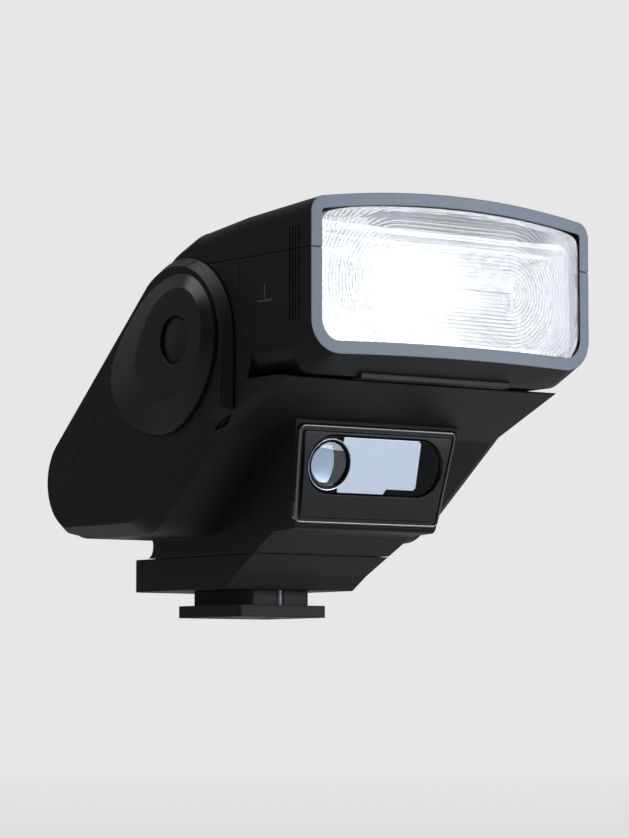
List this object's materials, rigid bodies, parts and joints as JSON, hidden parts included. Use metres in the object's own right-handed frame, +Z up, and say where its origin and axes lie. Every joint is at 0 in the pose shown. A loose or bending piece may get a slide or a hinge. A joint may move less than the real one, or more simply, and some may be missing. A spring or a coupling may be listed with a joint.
{
  "type": "speedlight flash",
  "caption": "Compact hot-shoe flash with a tilting, pull-out zoom head on a wedge body with two cells, side door, rear controls and locking foot.",
  "frame": {"origin": "centre of the shoe foot's underside", "axes": "+Z up; -Y is the way the light leaves at rest; +X is the battery door's side"},
  "size_m": [0.065, 0.0763, 0.0651],
  "materials": {
    "shell": "fine grained black moulding",
    "head_shell": "fine grained black moulding",
    "zoom_shell": "satin black moulding",
    "hinge_trim": "satin black moulding",
    "door_plastic": "fine grained black moulding",
    "gloss_panel": "polished black",
    "dark_window": "dark red-black clear moulding",
    "clear_lens": "clear moulding with fine ribs",
    "tube_glass": "clear glass",
    "reflector_metal": "polished",
    "silicone": "white silicone",
    "inner_plastic": "plain black",
    "control_plate": "satin dark grey",
    "button_plastic": "satin",
    "lamp": "clear light pipe",
    "foot_plastic": "smooth, slightly polished by the shoe",
    "steel": "plated",
    "contact_metal": "gold plated",
    "lever_plastic": "ribbed tab",
    "board": "solder resist",
    "capacitor_sleeve": "shrunk sleeve",
    "ferrite": "ferrite and tape",
    "cell_wrap": "plain printed-free wrap"
  },
  "bodies": {
    "case": {"lower_housing": "shell", "rear_cover": "shell", "base_block": "shell", "hinge_cover_left": "hinge_trim", "hinge_cover_right": "hinge_trim", "hinge_cap_left": "hinge_trim", "hinge_cap_right": "hinge_trim", "window_panel": "gloss_panel", "signal_window": "dark_window", "emitter_lens": "clear_lens", "battery_tray": "inner_plastic", "control_panel": "control_plate", "pilot_lamp": "lamp", "emitter": "lamp", "shoe_foot": "foot_plastic", "foot_screws": "steel", "lever_pivot": "steel", "hinge_pin_left": "steel", "hinge_pin_right": "steel", "contact_springs": "steel", "main_board": "board", "control_board": "board", "main_capacitor": "capacitor_sleeve", "converter_coil": "ferrite", "cell_rear": "cell_wrap", "cell_front": "cell_wrap"},
    "head": {"head_top_shell": "head_shell", "head_drum": "head_shell", "head_sleeve": "inner_plastic", "reflector": "reflector_metal", "flash_tube": "tube_glass", "tube_holders": "silicone", "head_board": "board"},
    "zoom_block": {"zoom_top_shell": "zoom_shell", "zoom_bottom_shell": "zoom_shell", "flash_panel": "clear_lens"},
    "battery_door": {"battery_door": "door_plastic", "door_contact": "steel"},
    "door_slider": {"door_slider": "steel"},
    "power_switch": {"power_switch": "button_plastic"},
    "release_button": {"release_button": "button_plastic"},
    "lock_lever": {"lock_lever": "lever_plastic"},
    "lock_pin": {"lock_pin": "steel"},
    "lock_release": {"lock_release_button": "button_plastic"},
    "contacts": {"contact_pins": "contact_metal"}
  },
  "joints": [
    {"name": "head_tilt", "type": "hinge", "parent": "case", "child": "head", "pos_m": [0, -0.0243, 0.0432], "axis": [-1, 0, 0], "range_deg": [0, 90]},
    {"name": "zoom_slide", "type": "slide", "parent": "head", "child": "zoom_block", "axis": [0, -1, 0], "range_m": [0, 0.006]},
    {"name": "door_slide", "type": "slide", "parent": "case", "child": "door_slider", "axis": [0, 0.9729, -0.2313], "range_m": [0, 0.003]},
    {"name": "door_swing", "type": "hinge", "parent": "door_slider", "child": "battery_door", "pos_m": [0.03115, -0.00053, 0.01428], "axis": [0, 0.9729, -0.2313], "range_deg": [0, 95]},
    {"name": "power_switch_slide", "type": "slide", "parent": "case", "child": "power_switch", "axis": [1, 0, 0], "range_m": [-0.0032, 0.0032]},
    {"name": "release_button_press", "type": "slide", "parent": "case", "child": "release_button", "axis": [0, -0.6639, -0.7478], "range_m": [0, 0.0008], "stiffness_N_per_m": 300},
    {"name": "lock_lever_swing", "type": "hinge", "parent": "case", "child": "lock_lever", "pos_m": [0, 0.004, 0.0069], "axis": [0, 0, -1], "range_deg": [0, 38]},
    {"name": "lock_pin_drop", "type": "slide", "parent": "case", "child": "lock_pin", "axis": [0, 0, -1], "range_m": [0, 0.0012]},
    {"name": "lock_release_press", "type": "slide", "parent": "case", "child": "lock_release", "axis": [0, -1, 0], "range_m": [0, 0.0008], "stiffness_N_per_m": 300},
    {"name": "contacts_spring", "type": "slide", "parent": "case", "child": "contacts", "axis": [0, 0, -1], "range_m": [0, 0.0005], "stiffness_N_per_m": 300}
  ],
  "couplings": [
    {"joint": "lock_lever_swing", "follows": "lock_pin_drop", "rad_per_m": 552.63}
  ]
}
